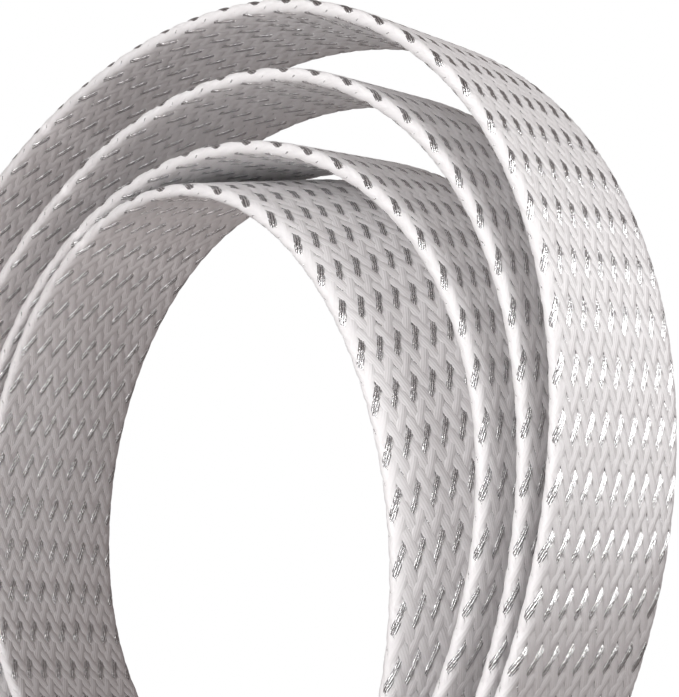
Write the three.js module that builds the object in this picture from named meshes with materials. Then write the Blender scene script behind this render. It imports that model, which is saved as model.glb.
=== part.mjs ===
// A braided cable sleeve: one length of flattened tube, wound on edge into a
// loose open coil of four passes. The coil lies on its end on a level floor,
// so the winding axis is +Z and the lower fold of every turn is at z = 0.
// Both cut ends are on the -Y side, and the sleeve is open at each of them.
import * as THREE from "three";

// Driving dimensions, in millimetres
const FLAT_WIDTH = 15; // from fold to fold, when the tube is pressed flat
const FLAT_THICKNESS = 0.95; // two layers of braid and the slit between them
const WALL = 0.36; // one layer of braid
const FOLD_FLAT = 0.3; // width of the narrow flat along each fold
const FOLD_DEPTH = 0.4; // depth over which a fold rounds over to the faces

// The winding follows an oval that changes slowly. These are its middle, its
// half width and half height along the upper fold, at the outer end and then
// after each whole turn inwards.
const OVALS = [
  { x: -7.2, y: -2.7, wide: 60.7, high: 48.7 },
  { x: -1, y: -5.5, wide: 49.5, high: 43.4 },
  { x: 0.7, y: -6.8, wide: 44.2, high: 37 },
  { x: 2.4, y: -7.6, wide: 29.5, high: 34.7 },
  { x: 2.6, y: -1.2, wide: 28.7, high: 28.2 },
];
const TURNS = OVALS.length - 1; // a metre of sleeve, along its middle
const START = -90; // direction of the outer end in degrees, from +X towards +Y
const SECTIONS_PER_TURN = 60;

// The loose coil lies askew: the lower fold is shifted from under the upper one
// by this much, at the outer end and then after each half turn inwards.
const SHIFTS = [
  { x: 0.1, y: -0.4 },
  { x: -1, y: 0.7 },
  { x: -0.6, y: 0.7 },
  { x: -0.3, y: 1.3 },
  { x: 1.6, y: 1.4 },
  { x: 0.2, y: 1.3 },
  { x: 6.4, y: 3.3 },
  { x: 3.5, y: 0.2 },
  { x: -1.8, y: 2.1 },
];

// One dimension after some number of turns: a smooth curve that passes through
// the values in the rows, which are spaced evenly over the winding
function between(rows, name, turns) {
  const last = rows.length - 1;
  const place = (turns / TURNS) * last;
  const before = Math.min(Math.floor(place), last - 1);
  const value = (k) => rows[THREE.MathUtils.clamp(k, 0, last)][name];
  const spline = new THREE.SplineCurve(
    [before - 1, before, before + 1, before + 2].map((k) => new THREE.Vector2(k, value(k))),
  );
  return spline.getPoint((1 + place - before) / 3).y;
}

// A point of the upper fold's line, seen from above
function upperFold(turns) {
  const angle = THREE.MathUtils.degToRad(START + 360 * turns);
  return new THREE.Vector2(
    between(OVALS, "x", turns) + between(OVALS, "wide", turns) * Math.cos(angle),
    between(OVALS, "y", turns) + between(OVALS, "high", turns) * Math.sin(angle),
  );
}

// The flattened tube's outline and its slit: across the face, then up the width
const half = FLAT_THICKNESS / 2;
const slit = half - WALL;
const OUTLINE = [
  [-FOLD_FLAT / 2, 0],
  [FOLD_FLAT / 2, 0],
  [half, FOLD_DEPTH],
  [half, FLAT_WIDTH - FOLD_DEPTH],
  [FOLD_FLAT / 2, FLAT_WIDTH],
  [-FOLD_FLAT / 2, FLAT_WIDTH],
  [-half, FLAT_WIDTH - FOLD_DEPTH],
  [-half, FOLD_DEPTH],
].map(([across, up]) => new THREE.Vector2(across, up));
const SLIT = [
  [0, FOLD_DEPTH],
  [slit, 2 * FOLD_DEPTH],
  [slit, FLAT_WIDTH - 2 * FOLD_DEPTH],
  [0, FLAT_WIDTH - FOLD_DEPTH],
  [-slit, FLAT_WIDTH - 2 * FOLD_DEPTH],
  [-slit, 2 * FOLD_DEPTH],
].map(([across, up]) => new THREE.Vector2(across, up));

// The corners of one section, standing across the winding at its place
function section(turns) {
  const at = upperFold(turns);
  const nearby = 0.1 / SECTIONS_PER_TURN;
  const after = upperFold(Math.min(turns + nearby, TURNS));
  const along = after.sub(upperFold(Math.max(turns - nearby, 0))).normalize();
  const shift = new THREE.Vector2(between(SHIFTS, "x", turns), between(SHIFTS, "y", turns));
  return [...OUTLINE, ...SLIT].flatMap((corner) => {
    const down = 1 - corner.y / FLAT_WIDTH;
    return [
      at.x + along.y * corner.x + shift.x * down,
      at.y - along.x * corner.x + shift.y * down,
      corner.y,
    ];
  });
}

// The sleeve as one closed mesh: its outside, its slit and a cut face at each end
function sleeve() {
  const sections = TURNS * SECTIONS_PER_TURN;
  const corners = OUTLINE.length + SLIT.length;
  const points = [];
  const faces = [];
  for (let s = 0; s <= sections; s++) points.push(...section(s / SECTIONS_PER_TURN));

  const band = (first, count, inwards) => {
    for (let s = 0; s < sections; s++)
      for (let k = 0; k < count; k++) {
        const a = s * corners + first + k;
        const b = s * corners + first + ((k + 1) % count);
        const [c, d] = [a + corners, b + corners];
        if (inwards) faces.push(a, b, d, a, d, c);
        else faces.push(a, d, b, a, c, d);
      }
  };
  band(0, OUTLINE.length, false);
  band(OUTLINE.length, SLIT.length, true);

  const last = sections * corners;
  for (const [a, b, c] of THREE.ShapeUtils.triangulateShape(OUTLINE, [SLIT])) {
    faces.push(a, b, c);
    faces.push(last + a, last + c, last + b);
  }

  const geometry = new THREE.BufferGeometry();
  geometry.setAttribute("position", new THREE.Float32BufferAttribute(points, 3));
  geometry.setIndex(faces);
  geometry.computeBoundingBox();
  const middle = geometry.boundingBox.getCenter(new THREE.Vector3());
  geometry.translate(-middle.x, -middle.y, 0); // the frame's origin is below the coil's middle
  geometry.computeVertexNormals();
  return geometry;
}

const braid = new THREE.MeshStandardMaterial({
  color: 0xe4e2e2,
  roughness: 0.55,
  metalness: 0.15,
});
const body = new THREE.Mesh(sleeve(), braid);
body.name = "braided_sleeve";

const coil = new THREE.Group();
coil.name = "braided_cable_sleeve";
coil.add(body);
export default coil;
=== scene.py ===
# %% [markdown]
# A braided cable sleeve, one metre of it, lies coiled on its edge. The sleeve is
# a tube of 72 flat strands that cross over two and under two, pressed flat, so
# each turn is a band with a fold along its top and its bottom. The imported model
# has the plain wall of that band. Here the wall is replaced by the strands.

# %% Load the frame
import math

import bpy
import numpy as np
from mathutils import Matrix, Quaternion, Vector


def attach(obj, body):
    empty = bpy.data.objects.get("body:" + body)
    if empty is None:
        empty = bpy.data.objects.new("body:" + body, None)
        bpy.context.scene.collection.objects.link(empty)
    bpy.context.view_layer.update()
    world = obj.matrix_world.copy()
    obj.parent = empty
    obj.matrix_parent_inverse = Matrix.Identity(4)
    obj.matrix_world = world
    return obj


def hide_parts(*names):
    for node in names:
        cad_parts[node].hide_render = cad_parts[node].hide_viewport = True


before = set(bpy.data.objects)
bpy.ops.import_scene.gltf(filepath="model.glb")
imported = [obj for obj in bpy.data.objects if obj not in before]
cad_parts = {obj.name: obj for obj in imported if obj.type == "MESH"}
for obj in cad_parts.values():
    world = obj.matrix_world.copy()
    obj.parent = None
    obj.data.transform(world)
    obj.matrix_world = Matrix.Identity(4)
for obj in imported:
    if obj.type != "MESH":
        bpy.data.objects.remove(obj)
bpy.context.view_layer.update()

MM = 0.001

# %% [markdown]
# The camera comes first, because everything is judged through it. It looks down
# at the coil from one side and is turned by almost a quarter, so that the upper
# folds of the turns lie to the left in the picture and the lower folds to the
# right. A long lens keeps the near and the far folds almost the same size.

# %% The camera
VIEW_TARGET = Vector((18.90, 10.24, 0.0)) * MM
VIEW_DISTANCE = 195.1 * MM
VIEW_AZIMUTH = math.radians(47.394)
VIEW_ELEVATION = math.radians(41.42)
VIEW_ROLL = math.radians(-79.874)
LENS = 105.43

view = Vector((
    -math.sin(VIEW_AZIMUTH) * math.cos(VIEW_ELEVATION),
    math.cos(VIEW_AZIMUTH) * math.cos(VIEW_ELEVATION),
    -math.sin(VIEW_ELEVATION),
))
camera = bpy.data.objects.new("camera", bpy.data.cameras.new("camera"))
bpy.context.collection.objects.link(camera)
camera.data.lens = LENS
camera.data.sensor_width = 36
camera.data.clip_start = 0.01
camera.location = VIEW_TARGET - view * VIEW_DISTANCE
camera.rotation_mode = "QUATERNION"
camera.rotation_quaternion = view.to_track_quat("-Z", "Y") @ Quaternion((0, 0, 1), VIEW_ROLL)
bpy.context.scene.camera = camera
print("camera at", [round(v, 4) for v in camera.location])

# %% [markdown]
# The winding is a spiral of ovals. After each turn inwards the oval has another
# middle and another size, and a smooth curve runs through these values. The
# lower fold is shifted a little from under the upper one, because a loose coil
# never stands quite straight. That shift changes faster, so it has a value for
# each half turn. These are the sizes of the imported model, repeated here, because
# the strands have to lie where its wall lies.

# %% The winding of the sleeve
FLAT_WIDTH = 15.0
THICKNESS = 0.95
START = -90.0
TURNS = 4
OVALS = {
    "x": (-7.2, -1.0, 0.7, 2.4, 2.6),
    "y": (-2.7, -5.5, -6.8, -7.6, -1.2),
    "wide": (60.7, 49.5, 44.2, 29.5, 28.7),
    "high": (48.7, 43.4, 37.0, 34.7, 28.2),
}
SHIFTS = {
    "x": (0.1, -1.0, -0.6, -0.3, 1.6, 0.2, 6.4, 3.5, -1.8),
    "y": (-0.4, 0.7, 0.7, 1.3, 1.4, 1.3, 3.3, 0.2, 2.1),
}


def through(values, turns):
    """A smooth curve that passes through values spaced evenly over the winding."""
    values = np.array(values, float)
    last = len(values) - 1
    place = turns / TURNS * last
    before = np.clip(np.floor(place).astype(int), 0, last - 1)
    t = place - before
    a, b, c, d = (values[np.clip(before + k, 0, last)] for k in (-1, 0, 1, 2))
    return b + 0.5 * t * (c - a + t * (2 * a - 5 * b + 4 * c - d + t * (3 * (b - c) + d - a)))


turns = np.linspace(0, TURNS, 400 * TURNS + 1)
oval = {name: through(values, turns) for name, values in OVALS.items()}
angle = np.radians(START + 360 * turns)
upper = np.stack([
    oval["x"] + oval["wide"] * np.cos(angle),
    oval["y"] + oval["high"] * np.sin(angle),
], axis=-1)
shift = np.stack([through(SHIFTS[axis], turns) for axis in "xy"], axis=-1)
tangent = np.gradient(upper, axis=0)
tangent /= np.linalg.norm(tangent, axis=1)[:, None]
outward = np.stack([tangent[:, 1], -tangent[:, 0]], axis=-1)
sides = np.concatenate([
    fold + outward * side * THICKNESS / 2
    for fold in (upper, upper + shift) for side in (-1, 1)
])
middle = (sides.min(axis=0) + sides.max(axis=0)) / 2
upper -= middle
run = np.concatenate([[0], np.cumsum(np.linalg.norm(np.diff(upper + shift / 2, axis=0), axis=1))])
LENGTH = run[-1]
reach = (sides.max(axis=0) - sides.min(axis=0)) / 2
print("sleeve in the coil", round(LENGTH, 1), "mm, half size", reach.round(2))

# %% [markdown]
# A braid is laid out on a lattice. With 36 strands each way, the strands of one
# lay are one pitch apart around the tube. A strand goes over two strands and
# under two, and it is back where it began after one row. The pressed tube is two
# flat layers joined by two round folds. It springs open a little, so it is
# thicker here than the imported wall, which gives the folds their width. The lower
# fold's part of a row lies a little further along, so the rows lean, and the lean
# eases off towards the cut ends. On the folds the weave is pulled tight, so the
# strands lie flatter there.

# %% The lattice of the braid
STRANDS = 36
ROW = 4.46
ROW_SLIP = -1.83
ROW_LEAN = 1.1
LEAN_EASE = 25.0
STRAND_TOP = 0.125
SPRUNG_THICKNESS = 1.4
CLEARANCE = 0.01
FOLD_RADIUS = SPRUNG_THICKNESS / 2 - STRAND_TOP - CLEARANCE
FOLD_TIGHT = 0.6
FACE = FLAT_WIDTH - SPRUNG_THICKNESS
AROUND = 2 * FACE + 2 * math.pi * FOLD_RADIUS
PITCH = AROUND / STRANDS
SLOPE = 2 * PITCH / ROW
print("pitch", round(PITCH, 3), "mm, braid angle", round(math.degrees(math.atan(SLOPE)), 1))


def around_tube(number, lay, distance, side):
    """Where a point of a strand lies around the tube; lay is 1 or -1 for the two ways round."""
    return number * PITCH + lay * (distance - ROW_SLIP) * SLOPE + side


def off_fold(around):
    """How far a place around the tube is from the nearer fold line."""
    return np.abs(np.mod(around + AROUND / 4, AROUND / 2) - AROUND / 4)


def tube_section(around):
    """Where a point around the pressed tube lies, out and up, and the way that the wall faces."""
    around = np.mod(around, AROUND)
    quarter = math.pi / 2 * FOLD_RADIUS
    corners = np.cumsum([0, quarter, FACE, 2 * quarter, FACE, quarter])
    low = (FLAT_WIDTH - FACE) / 2
    high = (FLAT_WIDTH + FACE) / 2
    turn = np.interp(around, corners, np.array([-0.5, 0, 0, 1, 1, 1.5]) * math.pi)
    centre = np.interp(around, corners, [low, low, high, high, low, low])
    faces = np.stack([np.cos(turn), np.sin(turn)], axis=-1)
    place = faces * FOLD_RADIUS
    place[..., 1] += centre
    return place, faces


def on_sleeve(distance, around, lift):
    """Points of the coil from a distance along it, a place around it and a lift off its wall."""
    place, faces = tube_section(around)
    tight = np.interp(off_fold(around), [0, FOLD_RADIUS * math.pi / 2 + PITCH], [FOLD_TIGHT, 1])
    place = place + faces * (lift * tight)[..., None]
    down = 1 - place[..., 1:] / FLAT_WIDTH
    from_ends = np.minimum(distance, LENGTH - distance)
    distance = distance + ROW_LEAN * down[..., 0] * np.clip(from_ends / LEAN_EASE, 0, 1)
    line, across, askew = (
        np.stack([np.interp(distance, run, path[:, k]) for k in (0, 1)], axis=-1)
        for path in (upper, outward, shift)
    )
    flat = line + across * place[..., :1] + askew * down
    return np.concatenate([flat, place[..., 1:]], axis=-1) * MM


# %% [markdown]
# A strand is a flat bundle of four filaments, a low arch in section. One short
# length of it is a cube without ends whose top is drawn in. Six lengths in a
# row, raised and lowered, make one repeat: up over two strands, down under two.
# The Array modifier repeats that for a metre. It stays straight for now.

# %% One straight strand
WHITE_WIDTH = 1.08
SILVER_WIDTH = 0.72
ARCH_HEIGHT = 0.07
ARCH_TOP = 0.5
LIFTS = (0.7, 1.0, 0.7, -0.7, -1.0, -0.7)
WEAVE = 0.055


def only(condition):
    """Select just the vertices that meet a condition, in edit mode."""
    bpy.ops.mesh.select_mode(type="VERT")
    bpy.ops.mesh.select_all(action="DESELECT")
    bpy.ops.object.mode_set(mode="OBJECT")
    for vertex in bpy.context.object.data.vertices:
        vertex.select = condition(vertex.co)
    bpy.ops.object.mode_set(mode="EDIT")


def repeat(piece, count, step):
    """Repeat a piece along X with the Array modifier, with its ends merged."""
    modifier = piece.modifiers.new("repeat", "ARRAY")
    modifier.use_relative_offset = False
    modifier.use_constant_offset = True
    modifier.constant_offset_displace = (step, 0, 0)
    modifier.count = count
    modifier.use_merge_vertices = True
    modifier.merge_threshold = 0.001
    bpy.ops.object.modifier_apply(modifier=modifier.name)


bpy.ops.object.select_all(action="DESELECT")
step = ROW / len(LIFTS)
height = STRAND_TOP - WEAVE - ARCH_HEIGHT / 2
bpy.ops.mesh.primitive_cube_add(size=1, location=(step / 2, 0, height))
strand = bpy.context.object
strand.dimensions = (step, PITCH, ARCH_HEIGHT)
bpy.ops.object.transform_apply(location=True, rotation=True, scale=True)
bpy.ops.object.mode_set(mode="EDIT")
only(lambda co: co.z > height)
bpy.ops.transform.resize(value=(1, ARCH_TOP, 1))
bpy.ops.mesh.select_mode(type="FACE")
bpy.ops.mesh.select_all(action="DESELECT")
bpy.ops.object.mode_set(mode="OBJECT")
for face in strand.data.polygons:
    face.select = abs(face.normal.x) > 0.9
bpy.ops.object.mode_set(mode="EDIT")
bpy.ops.mesh.delete(type="FACE")
bpy.ops.object.mode_set(mode="OBJECT")
repeat(strand, len(LIFTS), step)
bpy.ops.object.mode_set(mode="EDIT")
for number in range(len(LIFTS) + 1):
    only(lambda co: abs(co.x - number * step) < 0.01)
    bpy.ops.transform.translate(value=(0, 0, WEAVE * LIFTS[number % len(LIFTS)]))
bpy.ops.object.mode_set(mode="OBJECT")
repeat(strand, math.ceil(LENGTH / ROW) + 2, ROW)
print("one strand", len(strand.data.polygons), "faces,", round(strand.dimensions.x), "mm")

# %% [markdown]
# Each strand of the braid is a copy of that one, slid along until its ups and
# downs fit its neighbours', and cut off square where the sleeve is cut. Where it
# will wrap around a fold its faces are subdivided once more, so that the fold
# comes out round. Then every point is carried onto the coil: its distance along
# the strand gives the place in the winding, and the slant of the lay gives the
# place around the tube. No modifier presses a tube flat and winds it, so this
# step is done in code. Real strands are never spaced quite evenly, so each sways
# a little to either side, in long and in short waves of its own, given by their
# reach and stretch in millimetres. Neighbours float half a row apart, and the
# two lays start a different number of quarter rows early, so that one is always
# under where the other is over. Every strand starts a hundredth of a millimetre
# further back than that, which keeps the cuts off its own points. Last, edges
# where faces meet at less than 50 degrees are shaded smooth, which rounds the
# arch and leaves the cut ends crisp.

# %% Lay the strands on the coil
LONG_SWAY = (0.03, 9)
SHORT_SWAY = (0.02, 3)
QUARTERS_EARLY = {1: 0.5, -1: 2.5}
OVERHANG = 0.01
SMOOTH_BELOW = math.radians(50)
rng = np.random.default_rng(7)


def points_of(piece):
    """A piece's vertices as an array, one row each."""
    points = np.empty(3 * len(piece.data.vertices), np.float32)
    piece.data.vertices.foreach_get("co", points)
    return points.reshape(-1, 3).astype(float)


def finer_at_folds(piece, number, lay):
    """Subdivide up to an eighth of a pitch past each fold, but not across the arch's slopes."""
    ends = np.empty(2 * len(piece.data.edges), np.int32)
    piece.data.edges.foreach_get("vertices", ends)
    start, end = (points_of(piece)[ends[k::2]] for k in (0, 1))
    along, side, _ = ((start + end) / 2).T
    span = np.abs(end - start)
    slope = (span[:, 0] < 0.01) & (span[:, 2] > ARCH_HEIGHT / 2)
    fold = off_fold(around_tube(number, lay, along, side)) < FOLD_RADIUS * math.pi / 2 + PITCH / 8
    bpy.ops.object.mode_set(mode="EDIT")
    bpy.ops.mesh.select_mode(type="EDGE")
    bpy.ops.mesh.select_all(action="DESELECT")
    bpy.ops.object.mode_set(mode="OBJECT")
    piece.data.edges.foreach_set("select", fold & ~slope)
    bpy.ops.object.mode_set(mode="EDIT")
    bpy.ops.mesh.subdivide(number_cuts=1)
    bpy.ops.object.mode_set(mode="OBJECT")


def lay_strand(number, lay, width):
    """One strand on the coil; its width is given in pitches."""
    over = (2 * number - QUARTERS_EARLY[lay]) / 4
    slide = ROW_SLIP - ((lay * over + 1 / len(LIFTS)) % 1) * ROW - OVERHANG
    bpy.ops.object.select_all(action="DESELECT")
    copy = strand.copy()
    copy.data = strand.data.copy()
    bpy.context.collection.objects.link(copy)
    copy.select_set(True)
    bpy.context.view_layer.objects.active = copy
    bpy.ops.object.mode_set(mode="EDIT")
    bpy.ops.mesh.select_all(action="SELECT")
    bpy.ops.transform.translate(value=(slide, 0, 0))
    for end, way in ((0, -1), (LENGTH, 1)):
        bpy.ops.mesh.select_all(action="SELECT")
        bpy.ops.mesh.bisect(
            plane_co=(end, 0, 0),
            plane_no=(way, 0, 0),
            use_fill=True,
            clear_outer=True,
        )
    bpy.ops.object.mode_set(mode="OBJECT")
    finer_at_folds(copy, number, lay)

    distance, side, lift = points_of(copy).T
    drift = rng.uniform(0, 2 * math.pi, 2)
    sway = sum(
        reach * np.sin(distance / stretch + start)
        for (reach, stretch), start in zip((LONG_SWAY, SHORT_SWAY), drift)
    )
    around = around_tube(number, lay, distance, side * width + sway)
    copy.data.vertices.foreach_set("co", on_sleeve(distance, around, lift).astype(np.float32).ravel())

    corners = np.empty(len(copy.data.loops), np.int32)
    copy.data.loops.foreach_get("vertex_index", corners)
    flat = np.stack([distance - slide, side / PITCH + 0.5 + number], axis=-1)[corners]
    copy.data.uv_layers.active.data.foreach_set("uv", flat.astype(np.float32).ravel())
    return copy


def braid_piece(name, numbers, lay, width):
    """Several strands joined into one piece, with their faces pointing outwards."""
    strands = [lay_strand(number, lay, width) for number in numbers]
    for piece in strands:
        piece.select_set(True)
    piece = strands[0]
    bpy.context.view_layer.objects.active = piece
    bpy.ops.object.join()
    bpy.ops.object.mode_set(mode="EDIT")
    bpy.ops.mesh.select_all(action="SELECT")
    bpy.ops.mesh.normals_make_consistent(inside=False)
    bpy.ops.object.mode_set(mode="OBJECT")
    bpy.ops.object.shade_smooth_by_angle(angle=SMOOTH_BELOW)
    piece.name = name
    piece.data.name = name
    triangles = sum(len(face.vertices) - 2 for face in piece.data.polygons)
    print(name, len(numbers), "strands,", triangles, "triangles")
    return piece


silver = []
white = []
for k in range(2):
    pairs = range(18 * k, 18 * k + 18, 2)
    silver.append(braid_piece(f"silver_strands_{k + 1}", pairs, -1, SILVER_WIDTH))
    white.append(braid_piece(f"white_strands_{k + 1}", [n + 1 for n in pairs], -1, WHITE_WIDTH))
for k in range(4):
    quarter = range(9 * k, 9 * k + 9)
    white.append(braid_piece(f"white_strands_{k + 3}", quarter, 1, WHITE_WIDTH))
bpy.data.objects.remove(strand)

# %% [markdown]
# Every strand carries a UV map of its own: u is the distance along it in
# millimetres, in step with its ups and downs, and v runs across it, from one
# whole number to the next. The filaments, the crinkle of the tinsel and the
# small differences in tone are drawn on that map, so they follow each strand
# wherever it goes. A pattern on Object coordinates would run straight through
# the coil instead. Both materials use the same few helpers.

# %% Helpers for the materials
def new_material(name):
    """A material with its nodes, its links and its shader."""
    material = bpy.data.materials.new(name)
    material.use_nodes = True
    nodes = material.node_tree.nodes
    return material, nodes, material.node_tree.links, nodes["Principled BSDF"]


def noise(nodes, links, stretch, detail):
    """Noise on the strand's map; stretch says how many grains lie along 1 mm and across a strand."""
    place = nodes.new("ShaderNodeTexCoord")
    mapping = nodes.new("ShaderNodeMapping")
    mapping.inputs["Scale"].default_value = (*stretch, 1)
    grain = nodes.new("ShaderNodeTexNoise")
    grain.inputs["Scale"].default_value = 1.0
    grain.inputs["Detail"].default_value = detail
    links.new(place.outputs["UV"], mapping.inputs["Vector"])
    links.new(mapping.outputs["Vector"], grain.inputs["Vector"])
    return grain.outputs["Fac"]


RIDGE = 2 * math.pi / 20  # length of one ridge of Blender's wave texture at scale 1


def waves(nodes, links, direction, length, phase, crinkle):
    """Soft ridges on the strand's map, one for each length along u (X) or v (Y)."""
    place = nodes.new("ShaderNodeTexCoord")
    ridges = nodes.new("ShaderNodeTexWave")
    ridges.bands_direction = direction
    ridges.inputs["Scale"].default_value = RIDGE / length
    ridges.inputs["Phase Offset"].default_value = phase
    ridges.inputs["Distortion"].default_value = crinkle
    ridges.inputs["Detail"].default_value = 1.0
    ridges.inputs["Detail Scale"].default_value = 3.0
    links.new(place.outputs["UV"], ridges.inputs["Vector"])
    return ridges.outputs["Fac"]


def relief(nodes, links, shader, layers):
    """Bump from height maps that are added up, each with its depth in millimetres."""
    total = None
    for height_map, depth in layers:
        deeper = nodes.new("ShaderNodeMath")
        deeper.operation = "MULTIPLY_ADD"
        deeper.inputs[1].default_value = depth
        deeper.inputs[2].default_value = 0.0
        links.new(height_map, deeper.inputs[0])
        if total:
            links.new(total, deeper.inputs[2])
        total = deeper.outputs[0]
    bump = nodes.new("ShaderNodeBump")
    bump.inputs["Distance"].default_value = MM
    links.new(total, bump.inputs["Height"])
    links.new(bump.outputs["Normal"], shader.inputs["Normal"])


def tones(nodes, links, shader, pattern, dark, light):
    """Base colour between two tones, after a pattern."""
    ramp = nodes.new("ShaderNodeValToRGB")
    ramp.color_ramp.elements[0].position = 0.35
    ramp.color_ramp.elements[0].color = (*dark, 1)
    ramp.color_ramp.elements[1].position = 0.65
    ramp.color_ramp.elements[1].color = (*light, 1)
    links.new(pattern, ramp.inputs["Fac"])
    links.new(ramp.outputs["Color"], shader.inputs["Base Color"])


print("one ridge of the wave texture is", round(RIDGE, 3), "long")

# %% [markdown]
# White polyester is a soft plastic with a little sheen. Its tone changes slowly
# along a strand and a little from one strand to the next, and four filaments
# show as faint ridges. They are far too fine for the mesh, so they are bump.

# %% The white polyester
FILAMENTS = 4
WHITE_DARK = (0.88, 0.865, 0.87)
WHITE_LIGHT = (0.94, 0.93, 0.935)

polyester, nodes, links, shader = new_material("white_polyester")
shader.inputs["Roughness"].default_value = 0.45
shader.inputs["Sheen Weight"].default_value = 0.1
shader.inputs["Sheen Roughness"].default_value = 0.4
tones(nodes, links, shader, noise(nodes, links, (0.15, 1.7), 2.0), WHITE_DARK, WHITE_LIGHT)
relief(nodes, links, shader, [
    (waves(nodes, links, "Y", 1 / FILAMENTS, 0.0, 0.4), 0.010),
    (noise(nodes, links, (1.5, 3.0), 1.0), 0.015),
])
print(polyester.name, "has", len(nodes), "nodes")

# %% [markdown]
# The tinsel is bare metal film, so it shows only what it mirrors. Three layers of bump break that up
# into sparks: the arch of each float, which tilts its two ends apart, the lines between the
# filaments, and the crinkle of the film. The lines also get painted shade, a darker base colour,
# because little light gets out from between filaments.

# %% The silver tinsel
TINSEL_FILAMENTS = 3
# The darker tone is painted shade in the lines between the filaments.
TINSEL_PAINTED_SHADE = (0.42, 0.42, 0.43)
TINSEL_LIGHT = (1.0, 1.0, 1.0)
FLOAT_PHASE = 2 / 3 * math.pi

tinsel, nodes, links, shader = new_material("silver_tinsel")
shader.inputs["Metallic"].default_value = 1.0
shader.inputs["Roughness"].default_value = 0.22
lines = waves(nodes, links, "Y", 1 / TINSEL_FILAMENTS, 0.0, 2.5)
tones(nodes, links, shader, lines, TINSEL_PAINTED_SHADE, TINSEL_LIGHT)
relief(nodes, links, shader, [
    (waves(nodes, links, "X", ROW, FLOAT_PHASE, 0.0), 0.28),
    (lines, 0.05),
    (noise(nodes, links, (4.0, 7.0), 2.0), 0.10),
])
print(tinsel.name, "has", len(nodes), "nodes")

# %% [markdown]
# Each piece now gets its finish, and it moves with the root body. It stands for the imported sleeve,
# which is hidden.

# %% Finish the pieces
for pieces, material in ((silver, tinsel), (white, polyester)):
    for piece in pieces:
        piece.data.materials.clear()
        piece.data.materials.append(material)
        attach(piece, "root")
        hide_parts("braided_sleeve")
    print(len(pieces), "pieces of", material.name)

# %% [markdown]
# The backdrop is plain white and shadowless. Paper that white would also light
# the sleeve from below and show in every silver strand, and the photograph has
# neither. So this floor is seen by the camera alone and lights nothing.

# %% The floor
bpy.ops.object.select_all(action="DESELECT")
bpy.ops.mesh.primitive_plane_add(size=6)
floor = bpy.context.object
floor.name = "floor"
paper, nodes, links, shader = new_material("white_paper")
shader.inputs["Base Color"].default_value = (0.0, 0.0, 0.0, 1)
shader.inputs["Roughness"].default_value = 1.0
shader.inputs["Specular IOR Level"].default_value = 0.0
shader.inputs["Emission Color"].default_value = (1, 1, 1, 1)
shader.inputs["Emission Strength"].default_value = 1.0
floor.data.materials.append(paper)
floor.visible_glossy = False
floor.visible_diffuse = False
floor.visible_shadow = False
print("floor", round(floor.dimensions.x), "m wide")

# %% [markdown]
# The light is soft and a little warm. It comes mostly from above the coil and
# from its +X side, which is up and to the right in the picture. A fill comes from
# the other side, and the world's colour stands for the walls of the room. A long
# box low in front adds sparks on the near folds. The glint is what the silver on
# the near outer faces mirrors. The camera looks down at these upright faces, so
# that light has to lie below floor level, and it shows only in reflections. One
# big light from above would be simpler, but it would leave the silver dull. The
# powers are small, because the lights are small and near.

# %% The lights
WARM = (1, 0.88, 0.86, 1)
ROOM_STRENGTH = 0.215

world = bpy.data.worlds.new("studio")
bpy.context.scene.world = world
world.use_nodes = True
background = world.node_tree.nodes["Background"]
background.inputs["Color"].default_value = WARM
background.inputs["Strength"].default_value = ROOM_STRENGTH


def softbox(name, aim, direction, distance, size, power):
    """A soft light that faces a point of the coil, from a direction and a distance in millimetres."""
    light = bpy.data.objects.new(name, bpy.data.lights.new(name, "AREA"))
    bpy.context.collection.objects.link(light)
    light.data.shape = "RECTANGLE"
    light.data.size, light.data.size_y = (side * MM for side in size)
    light.data.energy = power
    light.visible_camera = False
    aim = Vector(aim) * MM
    light.location = aim + Vector(direction).normalized() * distance * MM
    light.rotation_mode = "QUATERNION"
    light.rotation_quaternion = (aim - light.location).to_track_quat("-Z", "Z")
    print(name, "shines from", [round(v / MM) for v in light.location], "mm")
    return light


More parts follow.
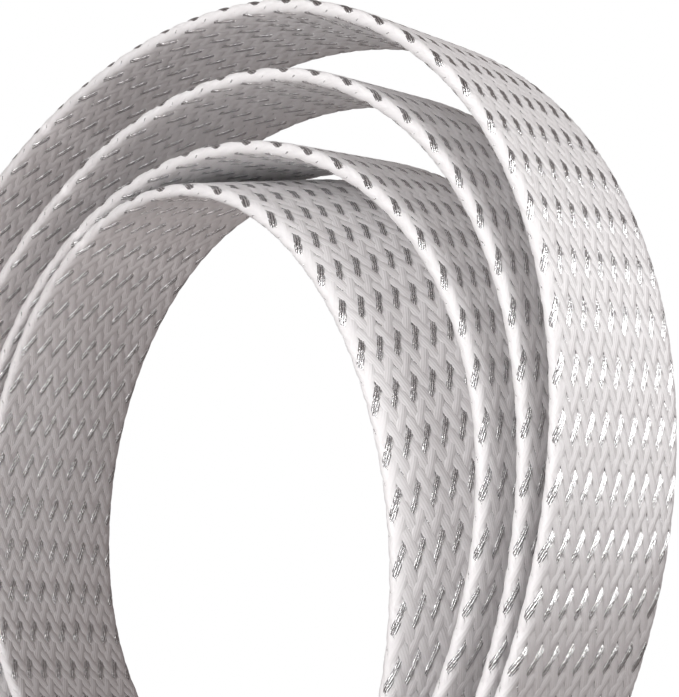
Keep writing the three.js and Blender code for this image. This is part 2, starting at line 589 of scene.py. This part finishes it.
softbox("key", (45, 5, 7), (0.85, 0.1, 0.2), 160, (80, 80), 0.112)
softbox("high_key", (20, 5, 7), (0.5, 0.15, 1.0), 250, (150, 150), 0.148)
softbox("top", (0, 0, 15), (0, 0, 1), 400, (300, 300), 1.0)
fill = softbox("fill", (0, 10, 7), (-0.7, -0.75, 0.35), 300, (200, 200), 0.2)
fill.data.color = (1, 0.93, 0.91)
softbox("front", (0, 0, 12), (0.35, -0.9, 0.25), 250, (260, 50), 0.045)
glint = softbox("glint", (45, -10, 7), (0.78, -0.18, -0.55), 120, (80, 200), 0.3)
glint.visible_diffuse = False

# %% [markdown]
# A photographer shapes reflections and shadows with cards. A grey card under the
# coil is what the silver on the inner faces mirrors instead of the glint. Two
# more stand on edge, one above the coil and one in its bore. They show nowhere
# and only hold the light from the +X side off the inner faces behind them. The
# camera sees none of the three.

# %% The cards
def card(name, middle, tilt, size, material):
    """A card that the camera doesn't see; tilt turns it about Y."""
    bpy.ops.object.select_all(action="DESELECT")
    middle = Vector(middle) * MM
    bpy.ops.mesh.primitive_plane_add(size=1, location=middle, rotation=(0, tilt, 0))
    made = bpy.context.object
    made.name = name
    made.scale = (size[0] * MM, size[1] * MM, 1)
    bpy.ops.object.transform_apply(location=True, rotation=True, scale=True)
    made.visible_camera = False
    made.visible_diffuse = False
    made.data.materials.append(material)
    print(name, "is", size[0], "by", size[1], "mm")
    return made


ground, nodes, links, shader = new_material("grey_ground")
shader.inputs["Base Color"].default_value = (0.0, 0.0, 0.0, 1)
shader.inputs["Specular IOR Level"].default_value = 0.0
shader.inputs["Emission Color"].default_value = WARM
shader.inputs["Emission Strength"].default_value = 0.2
card("ground_card", (-13, 0, -0.5), 0, (116, 150), ground)
card("shade_card", (5, 0, 45), math.pi / 2, (56, 140), paper).visible_glossy = False
card("bore_card", (15, -3, 11), math.pi / 2, (18, 42), paper).visible_glossy = False

# %% [markdown]
# The Standard view shows colours as they are set. A filmic view would turn the white floor and the
# white strands grey.

# %% The view
bpy.context.scene.view_settings.view_transform = "Standard"
